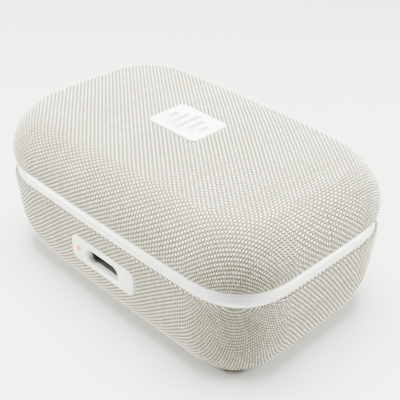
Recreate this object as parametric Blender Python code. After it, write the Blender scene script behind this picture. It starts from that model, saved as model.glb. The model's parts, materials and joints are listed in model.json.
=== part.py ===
"""Cloth-covered charging case for a pair of wireless earbuds.

A lower tub and a hinged lid, each a moulded shell wrapped in woven cloth, meet at a white
moulded seam. Inside are the earbud cradle, sprung charging contacts, battery and electronics.

Row frame: +X along the length, -Y the front with the socket, +Y the hinge, +Z up, and the
origin at the centre of the underside. Lengths in this file are millimetres until to_object.
"""

from math import cos, pi, radians, sin, sqrt

import bmesh
import bpy

MM = 0.001

# Overall shape of the base, outside the cloth
LENGTH = 72.0
DEPTH = 45.64
HEIGHT = 35.0
CORNER_X, CORNER_Y = 14.57, 13.74  # plan radii of the corners
CORNER_POWER = 2.56  # superellipse power of the corners
BOW_X, BOW_Y = 0.26, 0.50  # how far the ends and the long sides bulge
CORNER_STEPS = 8

# Underside rounding of the base, a superellipse arc
UNDER_IN, UNDER_UP, UNDER_POWER = 4.91, 9.77, 1.5

# Seam between base and lid
BASE_CLOTH_TOP = 19.25
FLARE, BASE_SQUARE = 0.45, 0.9  # the base wall leans out towards the seam, with tighter corners
FOLD_IN, FOLD_DOWN = 0.35, 0.55  # rounding of the base's folded cloth edge
PARTING_LOW, PARTING_HIGH = 20.52, 20.82  # top of the base rim, underside of the lid frame
LID_CLOTH_LOW = 22.4
LIP_IN, COVE_IN = 0.15, 1.30  # the white seam's outermost and innermost visible edges
RIM_WALL, RIM_LOW = (2.60, 3.60), 15.5  # the rim's wall inside the shell, which holds the cradle
CRADLE_CLIP = (4.10, 17.3)  # ledge under the cradle deck: inset and lower face
FRAME_WALL, FRAME_HIGH = (2.10, 3.10), 24.0  # the lid frame's wall inside the lid shell

# Lid, outside the cloth
LID_OVER = 0.45  # the lid is this much wider all round
TUCK_IN, TUCK_UP, LID_SQUARE = 0.25, 2.0, 0.5
SHOULDER_IN, SHOULDER_POWER = 5.54, 1.87
CROWN = 2.22

# Badge let into the lid's top
BADGE_W, BADGE_H, BADGE_R = 12.7, 9.46, 1.6

# Layers, from the outside in
CLOTH = 0.7
GAP = 0.3
LAYER = CLOTH + GAP  # cloth's outer face to the shell's outer face
SHELL, LID_SHELL = 1.3, 1.2
TURN_IN = 1.8  # how far the cloth is folded over the base shell's edge
LID_TURN_IN = 1.6
TURN_THICK = 0.4  # the folded cloth is pressed thinner there

# Hinge
HINGE_Y, HINGE_Z = 22.15, 20.67
KNUCKLE_R, PIN_R, PIN_HOLE_R, RELIEF_R = 1.1, 0.5, 0.72, 1.4
BASE_KNUCKLE = (-6.0, 6.0)
LID_KNUCKLES = ((-12.6, -6.3), (6.3, 12.6))
PIN_HALF = 12.4

# Socket plate in the front wall
FRONT_Y = -DEPTH / 2 - 0.2  # the wall leans out by about this much behind the plate
PLATE_W, PLATE_H, PLATE_R, PLATE_Z = 18.7, 5.7, 2.0, 12.33
PLATE_DEEP = 2.0
SLOT_W, SLOT_H = 9.54, 3.76
SOCKET_W, SOCKET_H, SOCKET_BORE_W, SOCKET_BORE_H = 8.94, 3.16, 8.34, 2.56
LIGHT_X, LIGHT_R = -7.2, 0.7

# Cradle: deck with two pockets, each a round bowl for the bud and a deeper well for its tip
DECK_LOW, DECK_HIGH, DECK_IN = 18.4, 19.6, 3.9
POCKET_WALL = 1.0
BOWL_X, BOWL_Y, BOWL_R, BOWL_FLOOR = 20.8, 1.0, 9.8, 9.0
WELL_X, WELL_Y, WELL_R, WELL_FLOOR = 17.5, -8.0, 6.0, 6.6
CONTACT_X, CONTACT_YS = 24.5, (-0.5, 3.5)
CONTACT_R, BARREL_R, BARREL_BORE_R, CONTACT_HOLE_R = 0.45, 1.0, 0.7, 0.75

FLOOR_TOP = LAYER + 1.2
BOARD_LOW, BOARD_HIGH = 9.5, 10.3
BOARD_POST = (7.3, -14.0)
COIL_Y = 3.0

COLOURS = {  # linear base colour, roughness, metallic
    "cloth": ((0.60, 0.60, 0.52), 0.9, 0.0),
    "white": ((0.78, 0.78, 0.75), 0.35, 0.0),
    "shell_grey": ((0.55, 0.55, 0.52), 0.5, 0.0),
    "steel": ((0.62, 0.62, 0.60), 0.3, 1.0),
    "gold": ((0.90, 0.62, 0.25), 0.25, 1.0),
    "black": ((0.02, 0.02, 0.02), 0.4, 0.0),
    "lamp": ((1.0, 0.16, 0.03), 0.3, 0.0),
    "board": ((0.02, 0.12, 0.05), 0.5, 0.0),
    "battery": ((0.30, 0.31, 0.33), 0.4, 0.6),
    "copper": ((0.72, 0.28, 0.12), 0.35, 1.0),
    "magnet": ((0.50, 0.50, 0.50), 0.25, 1.0),
    "foam": ((0.05, 0.05, 0.05), 0.95, 0.0),
    "flex": ((0.55, 0.24, 0.04), 0.45, 0.0),
}


def material(key):
    """The shared Principled material of one finish."""
    found = bpy.data.materials.get(key)
    if found:
        return found
    colour, roughness, metallic = COLOURS[key]
    made = bpy.data.materials.new(key)
    made.use_nodes = True
    shader = made.node_tree.nodes["Principled BSDF"]
    shader.inputs["Base Color"].default_value = (*colour, 1.0)
    shader.inputs["Roughness"].default_value = roughness
    shader.inputs["Metallic"].default_value = metallic
    made.diffuse_color = (*colour, 1.0)
    return made


def to_object(name, bm, key, sharp_deg=35, origin=(0, 0, 0)):
    """A finished object from a mesh drawn in millimetres, with its origin at a point."""
    bmesh.ops.recalc_face_normals(bm, faces=bm.faces)
    bmesh.ops.translate(bm, verts=bm.verts, vec=[-c for c in origin])
    bmesh.ops.scale(bm, verts=bm.verts, vec=(MM, MM, MM))
    mesh = bpy.data.meshes.new(name)
    bm.to_mesh(mesh)
    bm.free()
    mesh.shade_smooth()
    mesh.set_sharp_from_angle(angle=radians(sharp_deg))
    mesh.materials.append(material(key))
    made = bpy.data.objects.new(name, mesh)
    made.location = [c * MM for c in origin]
    bpy.context.scene.collection.objects.link(made)
    return made


def outline(inset, layer=0.0, share=1.0, square=0.0):
    """The plan outline, moved in by inset + layer.

    share is how fast inset shrinks the corners, and square is taken off their radii.
    """
    a = LENGTH / 2 - inset - layer
    b = DEPTH / 2 - inset - layer
    rx = max(1.0, CORNER_X - share * inset - layer - square)
    ry = max(1.0, CORNER_Y - share * inset - layer - square)
    quarter = [(a, 0.0)]
    for i in range(CORNER_STEPS + 1):
        t = pi / 2 * i / CORNER_STEPS
        x = a - rx + rx * abs(cos(t)) ** (2 / CORNER_POWER)
        y = b - ry + ry * abs(sin(t)) ** (2 / CORNER_POWER)
        quarter.append((x, y))
    quarter.append(((a - rx) / 2, b))
    quarter.append((0.0, b))
    quarter = [(x - BOW_X * (y / b) ** 2, y - BOW_Y * (x / a) ** 2) for x, y in quarter]
    left = [(-x, y) for x, y in reversed(quarter[:-1])]
    back = quarter + left
    front = [(x, -y) for x, y in reversed(back[1:-1])]
    return back + front


def flat_row(inset, z, layer=0.0, square=0.0):
    return [(x, y, z) for x, y in outline(inset, layer, 1.0, square)]


def loft(rows, closed):
    """Rows of equal length joined by quads. closed joins the last to the first; else both are capped."""
    bm = bmesh.new()
    loops = [[bm.verts.new(p) for p in row] for row in rows]
    count = len(rows[0])
    pairs = list(zip(loops, loops[1:]))
    if closed:
        pairs.append((loops[-1], loops[0]))
    else:
        bm.faces.new(loops[0])
        bm.faces.new(loops[-1])
    for low, high in pairs:
        for i in range(count):
            j = (i + 1) % count
            bm.faces.new((low[i], low[j], high[j], high[i]))
    return bm


def ring(name, section, key, square):
    """A ring round the case from its section, a list of (inset, z)."""
    rows = [flat_row(inset, z, square=square) for inset, z in section]
    return to_object(name, loft(rows, closed=True), key)


def under_rows(layer, steps=5):
    """Rows from the flat underside round to the upright wall, on the face a layer in."""
    rows = []
    for i in range(steps):
        t = pi / 2 * i / (steps - 1)
        inset = UNDER_IN * (1 - sin(t) ** (2 / UNDER_POWER))
        z = UNDER_UP * (1 - abs(cos(t)) ** (2 / UNDER_POWER))
        rows.append(flat_row(inset, z + layer * cos(t), layer * sin(t)))
    return rows


def crown_z(x, y):
    """Height that the lid's gentle crown adds over a point."""
    a, b = LENGTH / 2 + LID_OVER, DEPTH / 2 + LID_OVER
    return CROWN * (1 - (x / a) ** 2) * (1 - (y / b) ** 2)


def lid_tuck(z):
    """Inset of the lid's outer face where it tucks in towards the seam."""
    u = min(1.0, (z - LID_CLOTH_LOW) / TUCK_UP)
    return TUCK_IN * (1 - sqrt(1 - (1 - u) ** 2)) - LID_OVER


def lid_rows(layer, low_z, shoulder_steps=5):
    """Rows of the lid's face a layer in, from low_z over the shoulder to the crowned top."""
    wide_z = LID_CLOTH_LOW + TUCK_UP
    rise = HEIGHT - wide_z - CROWN
    rows = []
    for z in (low_z, (low_z + wide_z) / 2):
        square = LID_SQUARE * (wide_z - z) / TUCK_UP
        rows.append(flat_row(lid_tuck(z), z, layer, square))
    for i in range(shoulder_steps + 1):
        t = pi / 2 * i / shoulder_steps
        inset = SHOULDER_IN * (1 - abs(cos(t)) ** (2 / SHOULDER_POWER)) - LID_OVER
        u = sin(t) ** (2 / SHOULDER_POWER)
        edge = outline(inset, layer * cos(t), 0.5)
        rows.append([(x, y, wide_z + rise * u + crown_z(x, y) * u - layer * sin(t)) for x, y in edge])
    edge = outline(SHOULDER_IN - LID_OVER, 0.0, 0.5)
    for scale in (0.72, 0.42):
        inner = [(scale * x, scale * y) for x, y in edge]
        rows.append([(x, y, wide_z + rise + crown_z(x, y) - layer) for x, y in inner])
    top = HEIGHT - 0.01 - layer
    rows.append([(0.15 * x, 0.15 * y, top) for x, y in edge])
    return rows


def rounded_rect(width, height, radius, steps=4):
    points = []
    for quarter, (sx, sy) in enumerate(((1, 1), (-1, 1), (-1, -1), (1, -1))):
        cx, cy = sx * (width / 2 - radius), sy * (height / 2 - radius)
        for i in range(steps + 1):
            t = pi / 2 * (quarter + i / steps)
            points.append((cx + radius * cos(t), cy + radius * sin(t)))
    return points


def circle(radius, steps=16):
    return [(radius * cos(2 * pi * i / steps), radius * sin(2 * pi * i / steps)) for i in range(steps)]


def prism_mesh(points, axis, low, high, centre=(0, 0)):
    """A flat outline drawn out along an axis; the outline's u and v are the other two axes in order."""
    rows = []
    for along in (low, high):
        row = []
        for u, v in points:
            place = [u + centre[0], v + centre[1]]
            place.insert("XYZ".index(axis), along)
            row.append(place)
        rows.append(row)
    return loft(rows, closed=False)


def prism(name, points, axis, low, high, centre, key):
    return to_object(name, prism_mesh(points, axis, low, high, centre), key)


def block(name, low, high, key, radius=0.0):
    """A box between two corners, with its upright edges rounded by radius."""
    size = [h - a for a, h in zip(low, high)]
    centre = [(a + h) / 2 for a, h in zip(low, high)]
    if radius:
        points = rounded_rect(size[0], size[1], radius, 3)
    else:
        x, y = size[0] / 2, size[1] / 2
        points = [(x, y), (-x, y), (-x, -y), (x, -y)]
    return prism(name, points, "Z", low[2], high[2], centre[:2], key)


def turned(name, profile, centre, key, steps=24, closed=False, origin=(0, 0, 0)):
    """A body turned about an upright axis. profile is (radius, z), bottom to top."""
    x0, y0 = centre
    rows = [[(x0 + u, y0 + v, z) for u, v in circle(r, steps)] for r, z in profile]
    return to_object(name, loft(rows, closed), key, origin=origin)


def boolean(target, operation, tool):
    """Join or cut with a helper object, which stays as a hidden guide."""
    tool.hide_render = True
    tool.display_type = "WIRE"
    change = target.modifiers.new(f"{operation.lower()}_{tool.name}", "BOOLEAN")
    change.operation = operation
    change.solver = "EXACT"
    change.object = tool


def hinge_round(name, radius, span, key="white", steps=16):
    return prism(name, circle(radius, steps), "X", *span, (HINGE_Y, HINGE_Z), key)


def make_base_cloth():
    rows = under_rows(0.0)
    fold_z = BASE_CLOTH_TOP - FOLD_DOWN
    for i in range(4):
        t = pi / 2 * i / 3
        rows.append(flat_row(FOLD_IN * (1 - cos(t)) - FLARE, fold_z + FOLD_DOWN * sin(t), square=BASE_SQUARE))
    under_fold = BASE_CLOTH_TOP - TURN_THICK
    rows.append(flat_row(TURN_IN, BASE_CLOTH_TOP, square=BASE_SQUARE))
    rows.append(flat_row(TURN_IN, under_fold, square=BASE_SQUARE))
    rows.append(flat_row(CLOTH - FLARE, under_fold, square=BASE_SQUARE))
    rows.extend(reversed(under_rows(CLOTH)))
    cloth = to_object("base_cloth", loft(rows, closed=False), "cloth")
    window = rounded_rect(PLATE_W + 2 * GAP, PLATE_H + 2 * GAP, PLATE_R + GAP)
    boolean(cloth, "DIFFERENCE", front_cutter("cloth_window", window))


def front_cutter(name, points):
    return prism(name, points, "Y", FRONT_Y - 2, FRONT_Y + 6, (0, PLATE_Z), "white")


def make_base_shell():
    rim_z = BASE_CLOTH_TOP - TURN_THICK - GAP
    rows = under_rows(LAYER)
    rows.append(flat_row(LAYER - FLARE, rim_z, square=BASE_SQUARE))
    rows.append(flat_row(LAYER + SHELL - FLARE, rim_z, square=BASE_SQUARE))
    rows.extend(reversed(under_rows(LAYER + SHELL)))
    shell = to_object("base_shell", loft(rows, closed=False), "shell_grey")
    window = rounded_rect(PLATE_W + 2 * GAP, PLATE_H + 2 * GAP, PLATE_R + GAP)
    for side, x in (("left", -BOARD_POST[0]), ("right", BOARD_POST[0])):
        post = turned(f"post_{side}", [(1.5, FLOOR_TOP - 0.6), (1.5, BOARD_LOW - GAP)],
                      (x, BOARD_POST[1]), "shell_grey", 16)
        boolean(shell, "UNION", post)
        hole = turned(f"post_hole_{side}", [(0.85, 5.0), (0.85, BOARD_LOW + 1)],
                      (x, BOARD_POST[1]), "shell_grey", 16)
        boolean(shell, "DIFFERENCE", hole)
    boolean(shell, "DIFFERENCE", front_cutter("shell_window", window))


def make_base_rim():
    lip_z = BASE_CLOTH_TOP + GAP
    outer, inner = RIM_WALL
    ledge, ledge_low = CRADLE_CLIP
    section = [
        (LIP_IN, lip_z), (COVE_IN, PARTING_LOW), (inner, PARTING_LOW), (inner, DECK_LOW - GAP),
        (ledge, DECK_LOW - GAP), (ledge, ledge_low), (inner, ledge_low), (inner, RIM_LOW), (outer, RIM_LOW),
        (outer, lip_z),
    ]
    rim = ring("base_rim", section, "white", BASE_SQUARE)
    for span in LID_KNUCKLES:
        boolean(rim, "DIFFERENCE", hinge_round(f"rim_relief_{span[0]:.0f}", RELIEF_R,
                                               (span[0] - GAP, span[1] + GAP), steps=20))
    boolean(rim, "UNION", hinge_round("rim_knuckle", KNUCKLE_R, BASE_KNUCKLE))
    boolean(rim, "DIFFERENCE", hinge_round("rim_pin_hole", PIN_HOLE_R, (-20, 20)))


def make_lid_frame():
    high = LID_CLOTH_LOW - GAP
    outer, inner = FRAME_WALL
    cove_z = PARTING_HIGH + 0.45
    section = [
        (COVE_IN, PARTING_HIGH), (COVE_IN - 0.35, cove_z), (LIP_IN + 0.2, high), (outer, high),
        (outer, FRAME_HIGH), (inner, FRAME_HIGH), (inner, PARTING_HIGH),
    ]
    frame = ring("lid_frame", section, "white", LID_SQUARE)
    relief = (BASE_KNUCKLE[0] - GAP, BASE_KNUCKLE[1] + GAP)
    boolean(frame, "DIFFERENCE", hinge_round("frame_relief", RELIEF_R, relief, steps=20))
    for span in LID_KNUCKLES:
        boolean(frame, "UNION", hinge_round(f"frame_knuckle_{span[0]:.0f}", KNUCKLE_R, span))
    boolean(frame, "DIFFERENCE", hinge_round("frame_pin_hole", PIN_HOLE_R, (-20, 20)))


def make_lid_cloth():
    outer = lid_rows(0.0, LID_CLOTH_LOW)
    fold_z = LID_CLOTH_LOW + TURN_THICK
    inner = lid_rows(CLOTH, fold_z)
    rows = list(reversed(outer))
    rows.append(flat_row(LID_TURN_IN, LID_CLOTH_LOW, square=LID_SQUARE))
    rows.append(flat_row(LID_TURN_IN, fold_z, square=LID_SQUARE))
    rows.extend(inner)
    cloth = to_object("lid_cloth", loft(rows, closed=False), "cloth")
    hole = rounded_rect(BADGE_W + 2 * GAP, BADGE_H + 2 * GAP, BADGE_R + GAP)
    boolean(cloth, "DIFFERENCE", prism("badge_hole", hole, "Z", 32.0, 37.0, (0, 0), "white"))


def make_lid_shell():
    low = LID_CLOTH_LOW + TURN_THICK + GAP
    rows = list(reversed(lid_rows(LAYER, low)))
    rows.extend(lid_rows(LAYER + LID_SHELL, low))
    to_object("lid_shell", loft(rows, closed=False), "shell_grey")


def make_lid_liner():
    """The lining of the lid: a shallow cap with a flange just above the seam."""
    low, high, flange, wall = PARTING_HIGH + 0.4, 30.0, 3.4, 4.8
    outside = [(wall + 3.0, high), (wall + 0.9, high - 1.4), (wall, high - 4.0), (wall, low + 0.8),
               (flange, low + 0.8)]
    inside = [(flange, low), (wall + 1.0, low), (wall + 1.0, high - 4.0), (wall + 1.7, high - 2.0),
              (wall + 3.3, high - 1.0)]
    rows = [flat_row(inset, z) for inset, z in outside + inside]
    to_object("lid_liner", loft(rows, closed=False), "white")


def make_badge():
    points = rounded_rect(BADGE_W, BADGE_H, BADGE_R)
    prism("lid_badge", points, "Z", HEIGHT - CLOTH, HEIGHT, (0, 0), "white")


def make_socket_plate():
    points = rounded_rect(PLATE_W, PLATE_H, PLATE_R)
    plate = prism("socket_plate", points, "Y", FRONT_Y, FRONT_Y + PLATE_DEEP, (0, PLATE_Z), "white")
    slot = rounded_rect(SLOT_W, SLOT_H, SLOT_H / 2 - 0.05)
    boolean(plate, "DIFFERENCE", front_cutter("plate_slot", slot))
    light_hole = prism("plate_light_hole", circle(LIGHT_R + 0.25), "Y", FRONT_Y - 2, FRONT_Y + 6,
                       (LIGHT_X, PLATE_Z), "white")
    boolean(plate, "DIFFERENCE", light_hole)


def make_light():
    pipe = prism("light_pipe", circle(LIGHT_R), "Y", FRONT_Y, -18.4, (LIGHT_X, PLATE_Z), "lamp")
    foot = block("light_pipe_foot", (LIGHT_X - 0.8, -19.6, 11.8), (LIGHT_X + 0.8, -18.0, 13.1), "lamp")
    boolean(pipe, "UNION", foot)
    on_board("status_led", (LIGHT_X, -18.8), (1.6, 0.9), 0.7, "lamp")


def make_usb_socket():
    shell = prism("usb_c_shell", rounded_rect(SOCKET_W, SOCKET_H, 1.5), "Y", -22.0, -14.8, (0, PLATE_Z), "steel")
    bore = prism("usb_c_bore", rounded_rect(SOCKET_BORE_W, SOCKET_BORE_H, 1.2), "Y", -24.0, -15.4,
                 (0, PLATE_Z), "steel")
    boolean(shell, "DIFFERENCE", bore)
    prism("usb_c_tongue", rounded_rect(6.6, 0.7, 0.2, 2), "Y", -21.4, -15.7, (0, PLATE_Z), "black")


def on_board(name, place, size, height, key):
    """A surface-mounted piece on the main board."""
    low_z = BOARD_HIGH + GAP
    x, y = place
    w, d = size
    block(name, (x - w / 2, y - d / 2, low_z), (x + w / 2, y + d / 2, low_z + height), key)


def make_main_board():
    board = block("main_board", (-9.0, -19.8, BOARD_LOW), (9.0, -3.0, BOARD_HIGH), "board", 1.0)
    for side, x in (("left", -BOARD_POST[0]), ("right", BOARD_POST[0])):
        hole = turned(f"board_hole_{side}", [(0.9, BOARD_LOW - 1), (0.9, BOARD_HIGH + 1)],
                      (x, BOARD_POST[1]), "board", 16)
        boolean(board, "DIFFERENCE", hole)
        profile = [(0.55, 6.0), (0.55, BOARD_HIGH + 0.2), (1.25, BOARD_HIGH + 0.2), (1.25, BOARD_HIGH + 0.8),
                   (0.8, BOARD_HIGH + 1.0)]
        turned(f"board_screw_{side}", profile, (x, BOARD_POST[1]), "steel", 16)
    on_board("charge_controller", (0.0, -10.5), (4.0, 4.0), 0.8, "black")
    on_board("hall_sensor", (6.6, -18.0), (2.9, 1.5), 0.9, "black")


def make_battery():
    block("battery_pad", (-7.0, -0.5, 4.4), (7.0, 16.5, 4.8), "foam", 1.0)
    block("battery_cell", (-8.3, -1.0, 5.1), (8.3, 17.2, 13.2), "battery", 1.6)


def make_charging_coil():
    z = FLOOR_TOP + GAP
    ring_section = [(5.2, z), (10.8, z), (10.8, z + 0.7), (5.2, z + 0.7)]
    turned("charging_coil", ring_section, (0, COIL_Y), "copper", 32, closed=True)
    turned("ferrite_sheet", [(11.4, z + 1.0), (11.4, z + 1.4)], (0, COIL_Y), "foam", 32)


def pocket_profile(radius, floor, top, round_r):
    """A round pocket's profile with a rounded floor edge, bottom to top."""
    profile = []
    for i in range(4):
        t = pi / 2 * i / 3
        profile.append((radius - round_r * (1 - sin(t)), floor + round_r * (1 - cos(t))))
    profile.append((radius, top))
    return profile


def make_cradle():
    rows = [flat_row(DECK_IN, DECK_LOW), flat_row(DECK_IN, DECK_HIGH)]
    cradle = to_object("cradle_tray", loft(rows, closed=False), "white")
    hollows = (("bowl", BOWL_X, BOWL_Y, BOWL_R, BOWL_FLOOR), ("well", WELL_X, WELL_Y, WELL_R, WELL_FLOOR))
    middle = (DECK_LOW + DECK_HIGH) / 2
    for side, mirror in (("left", -1), ("right", 1)):
        for kind, x, y, radius, floor in hollows:
            profile = pocket_profile(radius + POCKET_WALL, floor - POCKET_WALL, middle, 3.0)
            cup = turned(f"{kind}_cup_{side}", profile, (mirror * x, y), "white", 28)
            boolean(cradle, "UNION", cup)
    for side, mirror in (("left", -1), ("right", 1)):
        for kind, x, y, radius, floor in hollows:
            profile = pocket_profile(radius, floor, DECK_HIGH + 3, 2.2)
            space = turned(f"{kind}_space_{side}", profile, (mirror * x, y), "white", 28)
            boolean(cradle, "DIFFERENCE", space)
        for number, y in enumerate(CONTACT_YS, 1):
            hole = turned(f"contact_hole_{side}_{number}", [(CONTACT_HOLE_R, 6.0), (CONTACT_HOLE_R, 12.0)],
                          (mirror * CONTACT_X, y), "white", 16)
            boolean(cradle, "DIFFERENCE", hole)


def make_contacts(side, mirror):
    """The charging contacts under one pocket: board, flex, and two sprung pins in barrels."""
    board_low = FLOOR_TOP + GAP
    x = mirror * CONTACT_X
    block(f"contact_board_{side}", (x - 4, -5.2, board_low), (x + 4, 6.5, board_low + 0.6), "board", 0.8)
    for number, y in enumerate(CONTACT_YS, 1):
        low, high = board_low + 0.9, BOWL_FLOOR - POCKET_WALL - 0.4
        barrel = [(BARREL_R, low), (BARREL_R, high), (BARREL_BORE_R, high), (BARREL_BORE_R, low + 0.6)]
        turned(f"contact_barrel_{side}_{number}", barrel, (x, y), "gold", 16)
        top = BOWL_FLOOR + 0.9
        pin = [(CONTACT_R, low + 1.6), (CONTACT_R, top - 0.2), (CONTACT_R - 0.2, top)]
        turned(f"contact_pin_{side}_{number}", pin, (x, y), "gold", 16, origin=(x, y, top))
    route = [(7.6, 9.10), (9.5, 9.10), (9.5, 4.70), (19.0, 4.70), (21.6, 3.50), (23.2, 3.50)]
    other = [(23.2, 3.35), (21.5, 3.35), (18.9, 4.50), (9.3, 4.50), (9.3, 8.90), (7.6, 8.90)]
    points = [(mirror * u, v) for u, v in route + other]
    rows = [[(u, y, v) for u, v in points] for y in (-5.9, -3.3)]
    to_object(f"contact_flex_{side}", loft(rows, closed=False), "flex")


def make_magnets(side, mirror):
    y = -DEPTH / 2 + DECK_IN
    x = mirror * 12.0
    block(f"base_magnet_{side}", (x - 4, y, 13.9), (x + 4, y + 1.2, 17.0), "magnet")
    y = -DEPTH / 2 + 3.4
    block(f"lid_magnet_{side}", (x - 4, y, 22.5), (x + 4, y + 1.1, 26.0), "magnet")
    turned(f"earbud_magnet_{side}", [(2.5, 5.7), (2.5, 7.7)], (mirror * 19.0, 5.0), "magnet", 20)


def main():
    for old in list(bpy.data.objects):
        bpy.data.objects.remove(old, do_unlink=True)
    make_base_cloth()
    make_base_shell()
    make_base_rim()
    make_socket_plate()
    make_usb_socket()
    make_light()
    make_main_board()
    make_battery()
    make_charging_coil()
    make_cradle()
    for side, mirror in (("left", -1), ("right", 1)):
        make_contacts(side, mirror)
        make_magnets(side, mirror)
    hinge_round("hinge_pin", PIN_R, (-PIN_HALF, PIN_HALF), "steel")
    make_lid_shell()
    make_lid_cloth()
    make_lid_frame()
    make_lid_liner()
    make_badge()


main()
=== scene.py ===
"""Looks of the cloth-covered earbuds case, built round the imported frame.

Lengths here are millimetres until they become a mesh. The frame is the part's own: +X along the
length, -Y the front with the socket, +Y the hinge, +Z up, the underside at Z = 0.
"""

import json
from math import cos, pi, radians, sin, sqrt

import bmesh
import bpy
import numpy as np
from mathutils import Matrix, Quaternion, Vector


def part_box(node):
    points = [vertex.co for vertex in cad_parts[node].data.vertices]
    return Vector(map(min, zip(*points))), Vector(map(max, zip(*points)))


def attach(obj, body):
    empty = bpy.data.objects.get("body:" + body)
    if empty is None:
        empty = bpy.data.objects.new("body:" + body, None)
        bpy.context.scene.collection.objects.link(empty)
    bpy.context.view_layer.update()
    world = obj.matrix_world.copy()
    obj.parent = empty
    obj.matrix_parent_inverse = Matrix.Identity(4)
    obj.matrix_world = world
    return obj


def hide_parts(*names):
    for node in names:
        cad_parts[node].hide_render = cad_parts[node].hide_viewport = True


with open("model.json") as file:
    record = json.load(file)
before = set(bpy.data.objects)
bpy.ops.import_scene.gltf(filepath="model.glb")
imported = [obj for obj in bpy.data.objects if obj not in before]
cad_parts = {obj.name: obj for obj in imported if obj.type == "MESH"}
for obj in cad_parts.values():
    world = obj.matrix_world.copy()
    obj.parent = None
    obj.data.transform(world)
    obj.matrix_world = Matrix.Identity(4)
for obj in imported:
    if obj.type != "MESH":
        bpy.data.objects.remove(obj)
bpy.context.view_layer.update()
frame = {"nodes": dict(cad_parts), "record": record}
NODES = frame["nodes"]
MM = 0.001


def node_box(name):
    """A CAD node's lowest and highest corners in millimetres."""
    low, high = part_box(name)
    return np.array(low) / MM, np.array(high) / MM


# The case's outer shape, the same rules as the frame's
BASE_LOW, BASE_HIGH = node_box("base_cloth")
LID_LOW, LID_HIGH = node_box("lid_cloth")
FLARE, BASE_SQUARE = 0.45, 0.9
LENGTH = BASE_HIGH[0] - BASE_LOW[0] - 2 * FLARE
DEPTH = BASE_HIGH[1] - BASE_LOW[1] - 2 * FLARE
HEIGHT = LID_HIGH[2]
BASE_CLOTH_TOP, LID_CLOTH_LOW = BASE_HIGH[2], LID_LOW[2]
LID_OVER = (LID_HIGH[0] - LID_LOW[0] - LENGTH) / 2
CORNER_X, CORNER_Y, CORNER_POWER = 14.57, 13.74, 2.56
BOW_X, BOW_Y = 0.26, 0.50
UNDER_IN, UNDER_UP, UNDER_POWER = 4.91, 9.77, 1.5
FOLD_IN, FOLD_DOWN = 0.35, 0.55
TUCK_IN, TUCK_UP, LID_SQUARE = 0.25, 2.0, 0.5
SHOULDER_IN, SHOULDER_POWER = 5.54, 1.87
CROWN = 2.22
PARTING_LOW, PARTING_HIGH = 20.52, 20.82
LIP_IN, COVE_IN = 0.15, 1.30
HINGE_Y, HINGE_Z = 22.15, 20.67
KNUCKLE_R, PIN_HOLE_R, RELIEF_R, GAP = 1.1, 0.72, 1.4, 0.3
BASE_KNUCKLE = (-6.0, 6.0)
LID_KNUCKLES = ((-12.6, -6.3), (6.3, 12.6))

# Weave: a plain weave, warp yarns along Y and weft yarns along X
WARP_PITCH, WEFT_PITCH = 0.606, 0.483
RELIEF = 0.26
WEFT_RISE, EDGE_RISE = 0.42, 0.30  # shares of the relief that weft floats and yarn edges reach
WEAVE_LEVEL = 0.70  # the share of the relief that lies on the shell's wrap
YARN_SCATTER = 0.018
FUZZ_SEED, FUZZ_COUNT = 7, 2400
FUZZ_LOWEST = 1.5  # no loose fibres below this height, where the case rests


# ---------------------------------------------------------------- meshes
def mesh_object(name, points, faces, smooth=True):
    """An object from points in millimetres and faces, which are quads if faces is an array."""
    mesh = bpy.data.meshes.new(name)
    points = np.asarray(points, float) * MM
    if isinstance(faces, np.ndarray):
        sides = faces.shape[1]
        mesh.vertices.add(len(points))
        mesh.vertices.foreach_set("co", points.ravel())
        mesh.loops.add(faces.size)
        mesh.loops.foreach_set("vertex_index", faces.ravel())
        mesh.polygons.add(len(faces))
        mesh.polygons.foreach_set("loop_start", np.arange(0, faces.size, sides))
        mesh.update(calc_edges=True)
    else:
        mesh.from_pydata(points.tolist(), [], faces)
    mesh.validate()
    if smooth:
        mesh.shade_smooth()
    made = bpy.data.objects.new(name, mesh)
    bpy.context.scene.collection.objects.link(made)
    return made


def loft_faces(rows, columns, closed_rows=False, caps=False):
    """Quads between rows of points that close on themselves, and optional caps on both ends."""
    faces = []
    spans = rows if closed_rows else rows - 1
    for r in range(spans):
        low, high = r * columns, ((r + 1) % rows) * columns
        for c in range(columns):
            d = (c + 1) % columns
            faces.append((low + c, low + d, high + d, high + c))
    if caps:
        faces.append(tuple(range(columns))[::-1])
        faces.append(tuple((rows - 1) * columns + c for c in range(columns)))
    return faces


def facing_out(obj):
    bm = bmesh.new()
    bm.from_mesh(obj.data)
    bmesh.ops.recalc_face_normals(bm, faces=bm.faces)
    bm.to_mesh(obj.data)
    bm.free()
    return obj


def loft(name, rows, closed_rows=False, sharp_deg=40):
    """A closed body through rows of equal length."""
    rows = [np.asarray(row, float) for row in rows]
    faces = loft_faces(len(rows), len(rows[0]), closed_rows, caps=not closed_rows)
    made = mesh_object(name, np.concatenate(rows), faces)
    facing_out(made)
    made.data.set_sharp_from_angle(angle=radians(sharp_deg))
    return made


def applied(obj):
    """Applies the modifiers on an object."""
    graph = bpy.context.evaluated_depsgraph_get()
    mesh = bpy.data.meshes.new_from_object(obj.evaluated_get(graph))
    obj.modifiers.clear()
    obj.data = mesh
    return obj


def boolean(obj, *steps):
    """Joins or cuts an object with tools, which are used up. A step is (operation, tool)."""
    for operation, tool in steps:
        change = obj.modifiers.new(operation, "BOOLEAN")
        change.operation = operation
        change.solver = "EXACT"
        change.object = tool
    applied(obj)
    for _, tool in steps:
        bpy.data.objects.remove(tool, do_unlink=True)
    return obj


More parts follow.
